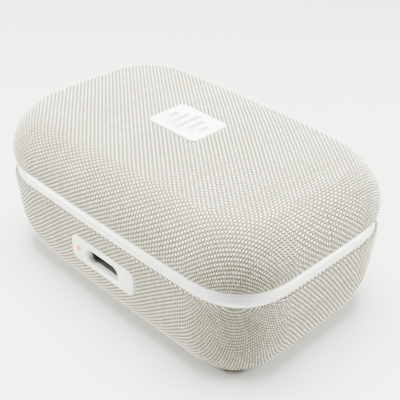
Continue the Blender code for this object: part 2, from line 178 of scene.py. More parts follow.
def bevelled(obj, width, segments=2, angle_deg=38, sharp_deg=50):
    """Rounds an object's sharp edges by a width in millimetres."""
    bevel = obj.modifiers.new("edges", "BEVEL")
    bevel.width = width * MM
    bevel.segments = segments
    bevel.limit_method = "ANGLE"
    bevel.angle_limit = radians(angle_deg)
    bevel.use_clamp_overlap = True
    applied(obj)
    obj.data.shade_smooth()
    obj.data.set_sharp_from_angle(angle=radians(sharp_deg))
    return obj


def quarter_outline(inset, layer=0.0, share=1.0, square=0.0, corner_steps=28, side_steps=10):
    """A quarter of the plan outline, moved in by inset + layer, from +X round to +Y."""
    a, b = LENGTH / 2 - inset - layer, DEPTH / 2 - inset - layer
    rx = max(1.0, CORNER_X - share * inset - layer - square)
    ry = max(1.0, CORNER_Y - share * inset - layer - square)
    t = np.linspace(0, pi / 2, corner_steps + 1)
    x = a - rx + rx * np.abs(np.cos(t)) ** (2 / CORNER_POWER)
    y = b - ry + ry * np.abs(np.sin(t)) ** (2 / CORNER_POWER)
    side = np.linspace(0, 1, side_steps, endpoint=False)
    x = np.concatenate([np.full(side_steps, a), x, (a - rx) * (1 - side[1:]), [0.0]])
    y = np.concatenate([(b - ry) * side, y, np.full(side_steps, b)])
    return np.stack([x - BOW_X * (y / b) ** 2, y - BOW_Y * (x / a) ** 2], 1)


def outline(inset, layer=0.0, share=1.0, square=0.0, **steps):
    """The whole plan outline, anticlockwise from +X."""
    quarter = quarter_outline(inset, layer, share, square, **steps)
    left = quarter[-2::-1] * (-1, 1)
    back = np.concatenate([quarter, left])
    return np.concatenate([back, back[-2:0:-1] * (1, -1)])


def at_height(plan, z):
    return np.column_stack([plan, np.broadcast_to(z, len(plan))])


def crown_z(plan):
    a, b = LENGTH / 2 + LID_OVER, DEPTH / 2 + LID_OVER
    return CROWN * (1 - (plan[:, 0] / a) ** 2) * (1 - (plan[:, 1] / b) ** 2)


def rounded_section(corners, radius, steps=4):
    """A closed section with each corner rounded. corners are (inset, z[, own radius])."""
    points = []
    count = len(corners)
    for i, corner in enumerate(corners):
        here = np.array(corner[:2], float)
        before = np.array(corners[i - 1][:2], float) - here
        after = np.array(corners[(i + 1) % count][:2], float) - here
        r = corner[2] if len(corner) > 2 else radius
        reach = min(r, 0.45 * np.linalg.norm(before), 0.45 * np.linalg.norm(after))
        start = here + before / np.linalg.norm(before) * reach
        end = here + after / np.linalg.norm(after) * reach
        for k in range(steps + 1):
            u = k / steps
            points.append((1 - u) ** 2 * start + 2 * u * (1 - u) * here + u * u * end)
    return points


def ring(name, corners, square, radius=0.12, steps=4):
    section = rounded_section(corners, radius, steps)
    rows = [at_height(outline(inset, square=square), z) for inset, z in section]
    return loft(name, rows, closed_rows=True)


def rounded_rect(width, height, radius, steps=10):
    points = []
    for quarter, (sx, sy) in enumerate(((1, 1), (-1, 1), (-1, -1), (1, -1))):
        for i in range(steps + 1):
            t = pi / 2 * (quarter + i / steps)
            points.append((sx * (width / 2 - radius) + radius * cos(t),
                           sy * (height / 2 - radius) + radius * sin(t)))
    return np.array(points)


def circle(radius, steps=48):
    t = np.linspace(0, 2 * pi, steps, endpoint=False)
    return radius * np.stack([np.cos(t), np.sin(t)], 1)


def along(axis, plan, depth, centre):
    """A flat outline placed at a depth along an axis, round a centre in the other two."""
    u, v = plan[:, 0] + centre[0], plan[:, 1] + centre[1]
    w = np.full(len(plan), depth)
    return np.stack({"X": (w, u, v), "Y": (u, w, v), "Z": (u, v, w)}[axis], 1)


def prism(name, plan, axis, low, high, centre=(0, 0)):
    return loft(name, [along(axis, plan, low, centre), along(axis, plan, high, centre)])


def turned(name, profile, centre, axis="Z", steps=48):
    """A body turned about an axis. profile is (radius, place along the axis)."""
    return loft(name, [along(axis, circle(r, steps), z, centre) for r, z in profile])


# ---------------------------------------------------------------- materials
class Shader:
    """A small helper that adds nodes to one material."""

    def __init__(self, name, colour, roughness, metallic=0.0, **sockets):
        self.material = bpy.data.materials.new(name)
        self.material.use_nodes = True
        self.tree = self.material.node_tree
        self.out = self.tree.nodes["Principled BSDF"]
        self.out.inputs["Base Color"].default_value = (*colour, 1)
        self.out.inputs["Roughness"].default_value = roughness
        self.out.inputs["Metallic"].default_value = metallic
        for socket, value in sockets.items():
            self.out.inputs[socket.replace("_", " ")].default_value = value

    def node(self, kind, **settings):
        made = self.tree.nodes.new("ShaderNode" + kind)
        for key, value in settings.items():
            setattr(made, key, value)
        return made

    def link(self, value, socket):
        if isinstance(value, bpy.types.NodeSocket):
            self.tree.links.new(value, socket)
        else:
            socket.default_value = value

    def math(self, operation, *values):
        made = self.node("Math", operation=operation)
        for value, socket in zip(values, made.inputs):
            self.link(value, socket)
        return made.outputs[0]

    def choose(self, factor, first, second):
        """The first value where the factor is 0, the second where it is 1."""
        made = self.node("Mix", data_type="FLOAT")
        self.link(factor, made.inputs["Factor"])
        self.link(first, made.inputs["A"])
        self.link(second, made.inputs["B"])
        return made.outputs["Result"]

    def mix(self, factor, first, second):
        made = self.node("Mix", data_type="RGBA")
        self.link(factor, made.inputs["Factor"])
        self.link(first, made.inputs["A"])
        self.link(second, made.inputs["B"])
        return made.outputs["Result"]

    def position(self):
        return self.node("TexCoord").outputs["Object"]

    def noise(self, scale, detail=2.0, vector=None, roughness=0.5):
        made = self.node("TexNoise")
        made.inputs["Scale"].default_value = scale
        made.inputs["Detail"].default_value = detail
        made.inputs["Roughness"].default_value = roughness
        self.link(vector or self.position(), made.inputs["Vector"])
        return made.outputs["Fac"]

    def ramp(self, value, low, high, to_low=0.0, to_high=1.0):
        made = self.node("MapRange")
        for item, socket in zip((value, low, high, to_low, to_high), made.inputs):
            self.link(item, socket)
        return made.outputs[0]

    def bump(self, height, distance_mm):
        made = self.node("Bump")
        made.inputs["Strength"].default_value = 1.0
        made.inputs["Distance"].default_value = distance_mm * MM
        self.link(height, made.inputs["Height"])
        return made.outputs["Normal"]

    def set(self, socket, value):
        self.link(value, self.out.inputs[socket])


def moulded(name, colour, roughness, grain_mm=0.05, grain_depth=0.004, dust=0.03, **sockets):
    """Moulded plastic: fine spark-eroded grain, soft roughness patches, faint colour drift."""
    s = Shader(name, colour, roughness, **sockets)
    drift = s.noise(160, 3)
    darker = tuple(c * (1 - dust * 2) for c in colour)
    s.set("Base Color", s.mix(s.ramp(drift, 0.35, 0.65), (*darker, 1), (*colour, 1)))
    s.set("Roughness", s.ramp(s.noise(420, 3), 0.3, 0.7, roughness - 0.05, roughness + 0.07))
    s.set("Normal", s.bump(s.noise(1 / (grain_mm * MM), 2), grain_depth))
    return s


def metal(name, colour, roughness, stretch=(1, 1, 1), depth=0.002):
    """Metal with fine drawn lines along one axis and worn patches."""
    s = Shader(name, colour, roughness, 1.0)
    mapping = s.node("Mapping")
    mapping.inputs["Scale"].default_value = stretch
    s.link(s.position(), mapping.inputs["Vector"])
    lines = s.noise(9000, 2, mapping.outputs[0])
    s.set("Roughness", s.ramp(lines, 0.3, 0.7, roughness * 0.8, roughness * 1.35))
    worn = tuple(c * 0.86 for c in colour)
    s.set("Base Color", s.mix(s.ramp(s.noise(700, 3), 0.4, 0.7), (*colour, 1), (*worn, 1)))
    s.set("Normal", s.bump(lines, depth))
    return s


CLOTH_LIGHT = (0.97, 0.95, 0.735)
CLOTH_MID = (0.62, 0.605, 0.42)
# the near-black colour of the painted shade in the gaps between yarns
CLOTH_PAINTED_SHADE = (0.016, 0.015, 0.007)


def cloth_material():
    """Plain weave: warp and weft of slightly different tints, twisted fibres, and gaps between yarns
    darkened with painted shade.
    """
    s = Shader("woven_cloth", CLOTH_MID, 0.92, Sheen_Weight=0.08, Sheen_Roughness=0.5)
    s.out.inputs["Specular IOR Level"].default_value = 0.25
    uv = s.node("UVMap", uv_map="flat_cloth").outputs[0]
    parts = s.node("SeparateXYZ")
    s.link(uv, parts.inputs[0])
    across, down = parts.outputs[0], parts.outputs[1]  # in yarns: warp count, weft count
    warp_i, weft_i = s.math("FLOOR", across), s.math("FLOOR", down)
    fu = s.math("SUBTRACT", s.math("FRACT", across), 0.5)
    fv = s.math("SUBTRACT", s.math("FRACT", down), 0.5)
    odd = s.math("PINGPONG", s.math("ADD", warp_i, weft_i), 1.0)
    round_u = s.math("COSINE", s.math("MULTIPLY", fu, pi))
    round_v = s.math("COSINE", s.math("MULTIPLY", fv, pi))
    warp_h = s.math("MULTIPLY", s.math("SQRT", s.math("MAXIMUM", round_u, 0.0)),
                    s.math("MULTIPLY_ADD", round_v, 0.6, 0.4))
    weft_h = s.math("MULTIPLY", s.math("SQRT", s.math("MAXIMUM", round_v, 0.0)),
                    s.math("MULTIPLY_ADD", round_u, 0.36, 0.16))
    height = s.choose(odd, warp_h, weft_h)
    # Fibres twisted round each yarn
    twist_a = s.math("ADD", s.math("MULTIPLY", fu, 3.2), s.math("MULTIPLY", down, 2.6))
    twist_b = s.math("ADD", s.math("MULTIPLY", fv, 3.2), s.math("MULTIPLY", across, 2.6))
    fibre = s.math("SINE", s.math("MULTIPLY", s.choose(odd, twist_a, twist_b), 2 * pi))
    fine = s.noise(9000, 3)
    total = s.math("ADD", height,
                   s.math("ADD", s.math("MULTIPLY", fibre, 0.05), s.math("MULTIPLY", fine, 0.35)))
    s.set("Normal", s.bump(total, 0.18))
    # Colour: each yarn's own tint, melange flecks, and painted shade that darkens the gaps between yarns
    yarn = s.node("TexWhiteNoise", noise_dimensions="2D")
    tag = s.node("CombineXYZ")
    s.link(s.choose(odd, warp_i, weft_i), tag.inputs[0])
    s.link(odd, tag.inputs[1])
    s.link(tag.outputs[0], yarn.inputs["Vector"])
    flecks = s.ramp(s.noise(1500, 3, roughness=0.65), 0.42, 0.62)
    own_share = s.math("MULTIPLY", yarn.outputs["Value"], 0.75)
    tint = s.mix(own_share, (*CLOTH_LIGHT, 1), (*CLOTH_MID, 1))
    tint = s.mix(s.math("MULTIPLY", flecks, 0.6), tint, (*CLOTH_MID, 1))
    slow = s.ramp(s.noise(140, 3), 0.3, 0.7, 0.0, 0.22)
    tint = s.mix(slow, tint, (*CLOTH_MID, 1))
    # painted shade: the colour darkens towards near-black where the weave's relief is low, in the gaps
    # between yarns
    painted_gap_shade = s.ramp(height, 0.30, 0.90, 1.0, 0.0)
    s.set("Base Color", s.mix(s.math("MULTIPLY", painted_gap_shade, 0.97), tint, (*CLOTH_PAINTED_SHADE, 1)))
    return s


BADGE_PROUD, BAR_DEEP, BAR_PITCH = 0.10, 0.35, 2.1


def badge_material():
    """White moulding with painted shade: the floors of its sunk bars are coloured grey."""
    s = moulded("badge_white", (0.88, 0.88, 0.86), 0.32, 0.05, 0.002, 0.01)
    top = (node_box("lid_badge")[1][2] + BADGE_PROUD) * MM
    parts = s.node("SeparateXYZ")
    s.link(s.position(), parts.inputs[0])
    # painted shade: the colour turns grey towards the floor of each sunk bar
    face = s.ramp(parts.outputs[2], top - 0.9 * BAR_DEEP * MM, top - 0.3 * BAR_DEEP * MM)
    s.set("Base Color", s.mix(face, (0.42, 0.41, 0.37, 1), (0.88, 0.88, 0.86, 1)))
    return s


def plate_material(lamp_at):
    """Matte plate with the lamp's light painted on it as a faint glow round the lamp."""
    s = moulded("matte_plate", (0.66, 0.66, 0.63), 0.55, 0.035, 0.006)
    to_lamp = s.node("VectorMath", operation="DISTANCE")
    s.link(s.position(), to_lamp.inputs[0])
    to_lamp.inputs[1].default_value = [c * MM for c in lamp_at]
    # painted light: the plate emits a faint glow close round the lamp
    halo = s.ramp(to_lamp.outputs["Value"], 0.5 * MM, 1.5 * MM, 1.0, 0.0)
    glow = s.math("POWER", halo, 2.2)
    s.set("Emission Color", s.mix(glow, (0, 0, 0, 1), (1.0, 0.20, 0.05, 1)))
    s.out.inputs["Emission Strength"].default_value = 1.1
    return s


def lamp_material():
    """The lit status lamp, uneven like a diffuser."""
    s = Shader("lit_lamp", (0.85, 0.07, 0.01), 0.5)
    patches = s.ramp(s.noise(900, 2), 0.3, 0.7)
    s.set("Emission Color", s.mix(patches, (1.0, 0.07, 0.0, 1), (1.0, 0.13, 0.0, 1)))
    s.out.inputs["Emission Strength"].default_value = 0.55
    return s


def board_material():
    """Solder mask with faint traces and gold pads."""
    s = Shader("circuit_board", (0.02, 0.12, 0.05), 0.45)
    brick = s.node("TexBrick")
    brick.inputs["Scale"].default_value = 900
    brick.inputs["Mortar Size"].default_value = 0.06
    brick.inputs["Color1"].default_value = (0.015, 0.10, 0.04, 1)
    brick.inputs["Color2"].default_value = (0.02, 0.13, 0.055, 1)
    brick.inputs["Mortar"].default_value = (0.04, 0.22, 0.09, 1)
    s.link(s.position(), brick.inputs["Vector"])
    s.set("Base Color", brick.outputs["Color"])
    s.set("Roughness", s.ramp(s.noise(800), 0.3, 0.7, 0.35, 0.55))
    s.set("Normal", s.bump(brick.outputs["Fac"], 0.03))
    return s


def coil_material():
    """Enamelled copper, wound in rings round the coil's own axis."""
    s = Shader("copper_winding", (0.72, 0.28, 0.12), 0.35, 1.0)
    shift = s.node("VectorMath", operation="SUBTRACT")
    s.link(s.position(), shift.inputs[0])
    low, high = node_box("charging_coil")
    shift.inputs[1].default_value = [c * MM for c in (low + high) / 2]
    rings = s.node("TexWave", wave_type="RINGS", rings_direction="Z")
    rings.inputs["Scale"].default_value = 900
    s.link(shift.outputs[0], rings.inputs["Vector"])
    s.set("Base Color", s.mix(rings.outputs["Fac"], (0.30, 0.09, 0.03, 1), (0.80, 0.33, 0.14, 1)))
    s.set("Normal", s.bump(rings.outputs["Fac"], 0.08))
    return s


def make_materials():
    low, high = node_box("light_pipe")
    lamp_at = ((low[0] + high[0]) / 2, low[1], high[2] - (high[0] - low[0]) / 2)
    made = {
        "cloth": cloth_material(),
        "inner_shell": moulded("inner_plastic", (0.50, 0.50, 0.47), 0.5, 0.08, 0.01),
        "white_plastic": moulded("satin_white", (0.86, 0.86, 0.84), 0.30, 0.03, 0.0022, 0.012,
                                 Coat_Weight=0.3, Coat_Roughness=0.25),
        "badge": badge_material(),
        "socket_plate": plate_material(lamp_at),
        "steel": metal("drawn_steel", (0.62, 0.62, 0.60), 0.28, (1, 0.06, 1)),
        "black_plastic": moulded("black_moulding", (0.025, 0.022, 0.02), 0.42, 0.05, 0.004),
        "lamp": lamp_material(),
        "circuit_board": board_material(),
        "foam": moulded("black_foam", (0.03, 0.03, 0.03), 0.95, 0.12, 0.06),
        "battery": metal("foil_pouch", (0.42, 0.43, 0.45), 0.38, (1, 1, 1), 0.01),
        "copper": coil_material(),
        "ferrite": moulded("ferrite_grey", (0.06, 0.06, 0.07), 0.6, 0.06, 0.008),
        "magnet": metal("nickel_plate", (0.60, 0.59, 0.57), 0.22, (1, 1, 0.2)),
        "gold": metal("gold_plate", (0.92, 0.66, 0.30), 0.22, (1, 1, 0.3)),
        "flex": moulded("amber_film", (0.50, 0.20, 0.03), 0.35, 0.09, 0.003),
    }
    return {slot: shader.material for slot, shader in made.items()}


MATERIALS = make_materials()
INSIDE_WHITE = moulded("matte_white", (0.50, 0.50, 0.475), 0.5, 0.05, 0.006, 0.012).material
SHADED_STEEL = metal("shaded_steel", (0.035, 0.033, 0.03), 0.5).material


def dress_frame():
    """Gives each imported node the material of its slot."""
    for part in frame["record"]["subparts"]:
        mesh = NODES[part["node"]].data
        mesh.materials.clear()
        mesh.materials.append(MATERIALS[part["material_slot"]])


def finished(obj, slot, body, *replaced, look=None):
    """Gives a piece its body and its material (look, or the slot's), and hides the CAD nodes it
    replaces.
    """
    obj.data.materials.clear()
    obj.data.materials.append(look or MATERIALS[slot])
    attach(obj, body)
    if replaced:
        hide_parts(*replaced)
    return obj


# ---------------------------------------------------------------- woven cloth
FINE = {"corner_steps": 120, "side_steps": 30}


def lid_profile():
    """Rows of the lid's outer face from the shoulder's start down to the cloth's folded edge."""
    wide_z = LID_CLOTH_LOW + TUCK_UP
    rise = HEIGHT - wide_z - CROWN
    rows = []
    for t in np.linspace(pi / 2, 0, 40):
        inset = SHOULDER_IN * (1 - abs(cos(t)) ** (2 / SHOULDER_POWER)) - LID_OVER
        u = sin(t) ** (2 / SHOULDER_POWER)
        plan = quarter_outline(inset, 0.0, 0.5, **FINE)
        rows.append(at_height(plan, wide_z + rise * u + crown_z(plan) * u))
    for u in np.linspace(1, 0, 12)[1:]:
        inset = TUCK_IN * (1 - sqrt(1 - (1 - u) ** 2)) - LID_OVER
        plan = quarter_outline(inset, square=LID_SQUARE * (1 - u), **FINE)
        rows.append(at_height(plan, LID_CLOTH_LOW + TUCK_UP * u))
    for inset, z in ((0.02, -0.10), (0.35, -0.14), (0.75, -0.04), (1.0, 0.2)):
        rows.append(at_height(quarter_outline(inset, square=LID_SQUARE, **FINE), LID_CLOTH_LOW + z))
    return np.array(rows)


def base_profile():
    """Rows of the base's outer face from the flat underside up to the cloth's folded edge."""
    rows = []
    for t in np.linspace(0, pi / 2, 40):
        inset = UNDER_IN * (1 - sin(t) ** (2 / UNDER_POWER))
        z = UNDER_UP * (1 - abs(cos(t)) ** (2 / UNDER_POWER))
        rows.append(at_height(quarter_outline(inset, **FINE), z))
    fold_z = BASE_CLOTH_TOP - FOLD_DOWN
    for u in np.linspace(0, 1, 12)[1:]:
        plan = quarter_outline(-FLARE * u, square=BASE_SQUARE * u, **FINE)
        rows.append(at_height(plan, UNDER_UP + (fold_z - UNDER_UP) * u))
    for t in np.linspace(0, pi / 2, 7)[1:]:
        plan = quarter_outline(FOLD_IN * (1 - cos(t)) - FLARE, square=BASE_SQUARE, **FINE)
        rows.append(at_height(plan, fold_z + FOLD_DOWN * sin(t)))
    for inset, z in ((0.15, 0.03), (0.55, -0.04), (0.85, -0.22)):
        rows.append(at_height(quarter_outline(inset, square=BASE_SQUARE, **FINE), BASE_CLOTH_TOP + z))
    return np.array(rows)


class Wrap:
    """Cloth pulled over a shell: finds where each point of the flat cloth lies on it.

    Inside the inner outline the cloth is flat on the shell. Outside it, a point's distance from
    that outline is its distance down the shell's side, so yarns fan out and close up at corners.
    """

    def __init__(self, rows, top_z, normal_z):
        self.rows, self.top_z, self.normal_z = rows, top_z, normal_z
        self.inner = rows[0][:, :2]
        steps = np.linalg.norm(np.diff(rows, axis=0), axis=2)
        self.reach = np.concatenate([np.zeros((1, rows.shape[1])), np.cumsum(steps, 0)])
        down = np.gradient(rows, axis=0)
        round_it = np.gradient(rows, axis=1)
        normals = np.cross(round_it, down)
        normals /= np.maximum(np.linalg.norm(normals, axis=2, keepdims=True), 1e-9)
        outward = (normals[:, :, :2] * rows[:, :, :2]).sum(2) + normals[:, :, 2] * normal_z * 8
        self.normals = normals * np.where(outward < 0, -1, 1)[:, :, None]
        self.longest = float(self.reach[-1].max())

    def nearest(self, flat):
        """For points outside the inner outline: the place along it, and the distance from it."""
        places, distances = np.zeros(len(flat)), np.zeros(len(flat))
        a, b = self.inner[:-1], self.inner[1:]
        span = b - a
        for start in range(0, len(flat), 20000):
            p = flat[start:start + 20000]
            u = ((p[:, None] - a) * span).sum(2) / (span ** 2).sum(1)
            u = np.clip(u, 0, 1)
            d = np.linalg.norm(a + u[:, :, None] * span - p[:, None], axis=2)
            k = d.argmin(1)
            one = np.arange(len(p))
            places[start:start + 20000] = k + u[one, k]
            distances[start:start + 20000] = d[one, k]
        return places, distances

    def on_side(self, place, distance):
        """Points and normals on the side, from a place along the outline and a distance down."""
        k = np.minimum(place.astype(int), self.inner.shape[0] - 2)
        f = (place - k)[:, None]
        points, normals = np.zeros((len(place), 3)), np.zeros((len(place), 3))
        for column, weight in ((k, 1 - f), (k + 1, f)):
            reach = self.reach[:, column]
            share = np.minimum(distance / self.longest, 1.0) * reach[-1]
            row = np.clip((reach < share).sum(0) - 1, 0, len(reach) - 2)
            low, high = reach[row, np.arange(len(row))], reach[row + 1, np.arange(len(row))]
            g = np.clip((share - low) / np.maximum(high - low, 1e-9), 0, 1)[:, None]
            points += weight * ((1 - g) * self.rows[row, column] + g * self.rows[row + 1, column])
            normals += weight * ((1 - g) * self.normals[row, column]
                                 + g * self.normals[row + 1, column])
        normals /= np.linalg.norm(normals, axis=1, keepdims=True)
        return points, normals

    def place(self, flat):
        """Where points of the flat cloth lie: points, normals, and how far outside each is."""
        signs = np.where(flat < 0, -1.0, 1.0)
        folded = np.abs(flat)
        points = at_height(folded, self.top_z(folded))
        normals = np.tile((0.0, 0.0, float(self.normal_z)), (len(flat), 1))
        outside = ~self.is_inside(folded)
        where, distance = self.nearest(folded[outside])
        over = distance > self.longest
        points[outside], normals[outside] = self.on_side(where, distance)
        far = np.zeros(len(flat))
        far[outside] = np.where(over, distance, np.minimum(distance, self.longest))
        for axis in (0, 1):
            points[:, axis] *= signs[:, axis]
            normals[:, axis] *= signs[:, axis]
        return points, normals, far

    def is_inside(self, folded):
        """Whether points of the first quadrant lie within the inner outline."""
        x, y = self.inner[::-1, 0], self.inner[::-1, 1]
        limit = np.interp(folded[:, 0], x, y, right=-1.0)
        steep = np.interp(folded[:, 1], y[::-1], x[::-1], right=-1.0)
        return (folded[:, 1] <= limit) & (folded[:, 0] <= steep)


def weave_height(i, j):
    """Relief at half-yarn grid steps: warp floats stand highest, weft floats lower, gaps lowest."""
    at_warp, at_weft = i % 2 == 1, j % 2 == 1
    crossing = at_warp & at_weft
    over = ((i // 2 + j // 2) % 2 == 0)
    height = np.where(at_warp | at_weft, EDGE_RISE, 0.0)
    return np.where(crossing, np.where(over, 1.0, WEFT_RISE), height)


def woven(name, wrap, extent, keep_out=None):
    """A single sheet of woven cloth on a half-yarn grid, with its flat coordinates as its UVs."""
    half_u, half_v = WARP_PITCH / 2, WEFT_PITCH / 2
    ni, nj = int(extent[0] / half_u) + 2, int(extent[1] / half_v) + 2
    ni, nj = ni + ni % 2, nj + nj % 2
    i, j = np.meshgrid(np.arange(-ni, ni + 1), np.arange(-nj, nj + 1), indexing="ij")
    i, j = i.ravel(), j.ravel()
    flat = np.stack([i * half_u, j * half_v], 1)
    points, normals, far = wrap.place(flat)
    columns = 2 * nj + 1
    corner = (np.arange(2 * ni)[:, None] * columns + np.arange(2 * nj)).ravel()
    quads = np.stack([corner, corner + columns, corner + columns + 1, corner + 1], 1)
    quads = quads[(far[quads] < wrap.longest).sum(1) >= 2]
    if keep_out is not None:
        points, normals, blocked = keep_out(points, normals)
        quads = quads[~blocked[quads].all(1)]
    else:
        blocked = np.zeros(len(points), bool)
    edge = np.clip((wrap.longest - far) / 0.6, 0, 1)
    lift = RELIEF * (weave_height(i, j) - WEAVE_LEVEL) * edge * ~blocked
    rng = np.random.default_rng(FUZZ_SEED)
    lift += rng.normal(0, YARN_SCATTER, len(lift)) * edge * ~blocked
    points = points + normals * lift[:, None]
    if wrap.normal_z < 0:
        quads = quads[:, ::-1]
    used, quads = np.unique(quads, return_inverse=True)
    quads = quads.reshape(-1, 4)
    made = mesh_object(name, points[used], quads)
    layer = made.data.uv_layers.new(name="flat_cloth")
    loops = np.zeros(len(made.data.loops), int)
    made.data.loops.foreach_get("vertex_index", loops)
    yarns = flat[used][loops] / (WARP_PITCH, WEFT_PITCH) + 400
    layer.data.foreach_set("uv", yarns.ravel())
    return made


def window(plan_size, centre, radius, side):
    """Opens a rounded window in the cloth, with the cloth's edge rolled in round it."""
    half = np.array(plan_size) / 2

    def keep_out(points, normals):
        if side == "front":
            local, facing = points[:, [0, 2]] - centre, points[:, 1] < -DEPTH / 2 + 1.5
        else:
            local, facing = points[:, :2] - centre, points[:, 2] > HEIGHT - 3
        q = np.abs(local) - (half - radius)
        outside = np.linalg.norm(np.maximum(q, 0), axis=1)
        signed = outside + np.minimum(q.max(1), 0) - radius
        blocked = (signed < 0) & facing
        step = np.where(q.max(1, keepdims=True) > 0, np.maximum(q, 0), q == q.max(1, keepdims=True))
        step = step / np.maximum(np.linalg.norm(step, axis=1, keepdims=True), 1e-9) * np.sign(local)
        moved = local - step * signed[:, None]
        local = np.where(blocked[:, None], moved, local)
        near = facing & (signed < 0.35)
        roll = np.where(near, 0.22 * (1 - np.clip(signed, 0, 0.35) / 0.35) ** 2, 0)
        points = points - normals * roll[:, None]
        if side == "front":
            points[:, [0, 2]] = np.where(blocked[:, None], local + centre, points[:, [0, 2]])
        else:
            points[:, :2] = np.where(blocked[:, None], local + centre, points[:, :2])
        return points, normals, blocked

    return keep_out


def fuzz(name, cloth, count, seed):
    """Loose fibres that stand off the cloth, each a thin bent three-sided tube."""
    rng = np.random.default_rng(seed)
    mesh = cloth.data
    verts = np.zeros(len(mesh.vertices) * 3)
    mesh.vertices.foreach_get("co", verts)
    norms = np.zeros(len(mesh.vertices) * 3)
    mesh.vertices.foreach_get("normal", norms)
    verts, norms = verts.reshape(-1, 3) / MM, norms.reshape(-1, 3)
    above = np.flatnonzero(verts[:, 2] > FUZZ_LOWEST)
    pick = rng.choice(above, count, replace=False)
    root, out = verts[pick], norms[pick]
    side = np.cross(out, rng.normal(size=(count, 3)))
    side /= np.linalg.norm(side, axis=1, keepdims=True)
    lean = rng.uniform(0.2, 1.4, (count, 1))
    length = rng.gamma(3.0, 0.17, (count, 1)) + 0.15
    bend = rng.normal(0, 0.5, (count, 1))
    other = np.cross(out, side)
    radius = rng.uniform(0.012, 0.022, (count, 1))
    segments = 5
    rings = []
    for k in range(segments + 1):
        t = k / segments
        spine = root + length * (out * (t * np.cos(lean * t)) + side * (t * np.sin(lean * t))
                                 + other * bend * t * t * 0.6)
        spine = spine - out * 0.03
        for a in (0, 2 * pi / 3, 4 * pi / 3):
            rings.append(spine + radius * (1 - 0.6 * t) * (side * cos(a) + other * sin(a)))
    points = np.stack(rings, 1).reshape(-1, 3)
    faces = []
    for k in range(segments):
        for c in range(3):
            d = (c + 1) % 3
            faces.append((3 * k + c, 3 * k + d, 3 * k + 3 + d, 3 * k + 3 + c))
    per = 3 * (segments + 1)
    quads = (np.arange(count)[:, None, None] * per + np.array(faces)).reshape(-1, 4)
    return mesh_object(name, points, quads)


def fuzz_material():
    s = Shader("loose_fibre", (0.78, 0.77, 0.68), 0.7, Sheen_Weight=0.2)
    s.set("Base Color", s.mix(s.noise(400, 2), (0.85, 0.84, 0.76, 1), (0.62, 0.60, 0.50, 1)))
    return s.material


def make_cloth():
    lid = Wrap(lid_profile(), lambda p: HEIGHT - CROWN + crown_z(p), 1)
    lid_extent = lid.inner[:, 0].max() + lid.longest, lid.inner[:, 1].max() + lid.longest
    low, high = node_box("lid_badge")
    size = (high - low)[:2]
    badge_window = window(size - 0.5, np.zeros(2), 1.4, "top")
    lid_cloth = woven("lid_woven_cover", lid, lid_extent, badge_window)
    finished(lid_cloth, "cloth", "lid", "lid_cloth")
    base = Wrap(base_profile(), lambda p: np.zeros(len(p)), -1)
    base_extent = base.inner[:, 0].max() + base.longest, base.inner[:, 1].max() + base.longest
    low, high = node_box("socket_plate")
    size, centre = (high - low)[[0, 2]], ((high + low) / 2)[[0, 2]]
    base_cloth = woven("base_woven_cover", base, base_extent, window(size + 0.16, centre, 2.1, "front"))
    finished(base_cloth, "cloth", "base", "base_cloth")
    hair = fuzz_material()
    for cloth, body, extent, rests in ((lid_cloth, "lid", lid_extent, "lid_shell"),
                                       (base_cloth, "base", base_extent, "base_shell")):
        fibres = fuzz(f"{body}_loose_fibres", cloth, FUZZ_COUNT, FUZZ_SEED + len(body))
        finished(fibres, "cloth", body, look=hair)


# ---------------------------------------------------------------- seam, hinge and moulded pieces
def knuckle(name, span, radius=KNUCKLE_R, edge=0.18):
    low, high = span
    profile = [(radius - edge, low), (radius - edge * 0.3, low + edge * 0.3), (radius, low + edge),
               (radius, high - edge), (radius - edge * 0.3, high - edge * 0.3), (radius - edge, high)]
    return turned(name, profile, (HINGE_Y, HINGE_Z), "X", 40)


def rod(name, radius, span):
    return prism(name, circle(radius, 40), "X", *span, (HINGE_Y, HINGE_Z))


def make_seam():
    """The white seam: a lip, a slope and the cradle's wall below, a cove and a lip above."""
    lip = BASE_CLOTH_TOP + 0.10
    rim = ring("base_rim_moulding", [
        (LIP_IN, lip, 0.05), (LIP_IN - 0.02, lip + 0.10, 0.07), (0.95, lip + 0.52, 0.4),
        (1.32, lip + 0.85, 0.2), (COVE_IN + 0.15, PARTING_LOW, 0.06), (3.60, PARTING_LOW, 0.25),
        (3.60, 18.1), (4.10, 18.1), (4.10, 17.3), (3.60, 17.3), (3.60, 15.5), (2.60, 15.5), (2.60, lip),
    ], BASE_SQUARE)
    steps = [("DIFFERENCE", rod("relief", RELIEF_R, (low - GAP, high + GAP)))
             for low, high in LID_KNUCKLES]
    steps.append(("UNION", knuckle("knuckle", BASE_KNUCKLE)))
    steps.append(("DIFFERENCE", rod("bore", PIN_HOLE_R, (-20, 20))))
    finished(boolean(rim, *steps), "white_plastic", "base", "base_rim")
    high = LID_CLOTH_LOW - 0.16
    lid_frame = ring("lid_frame_moulding", [
        (COVE_IN, PARTING_HIGH, 0.10), (1.34, PARTING_HIGH + 0.55, 0.2), (1.05, high - 0.48, 0.2),
        (0.20, high - 0.30, 0.06), (0.0, high - 0.24, 0.06), (0.0, high - 0.08, 0.06), (0.2, high, 0.06),
        (2.10, high), (2.10, 24.0), (3.10, 24.0), (3.10, PARTING_HIGH, 0.25),
    ], LID_SQUARE)
    low, top = BASE_KNUCKLE
    steps = [("DIFFERENCE", rod("relief", RELIEF_R, (low - GAP, top + GAP)))]
    steps += [("UNION", knuckle("knuckle", span)) for span in LID_KNUCKLES]
    steps.append(("DIFFERENCE", rod("bore", PIN_HOLE_R, (-20, 20))))
    finished(boolean(lid_frame, *steps), "white_plastic", "lid", "lid_frame")


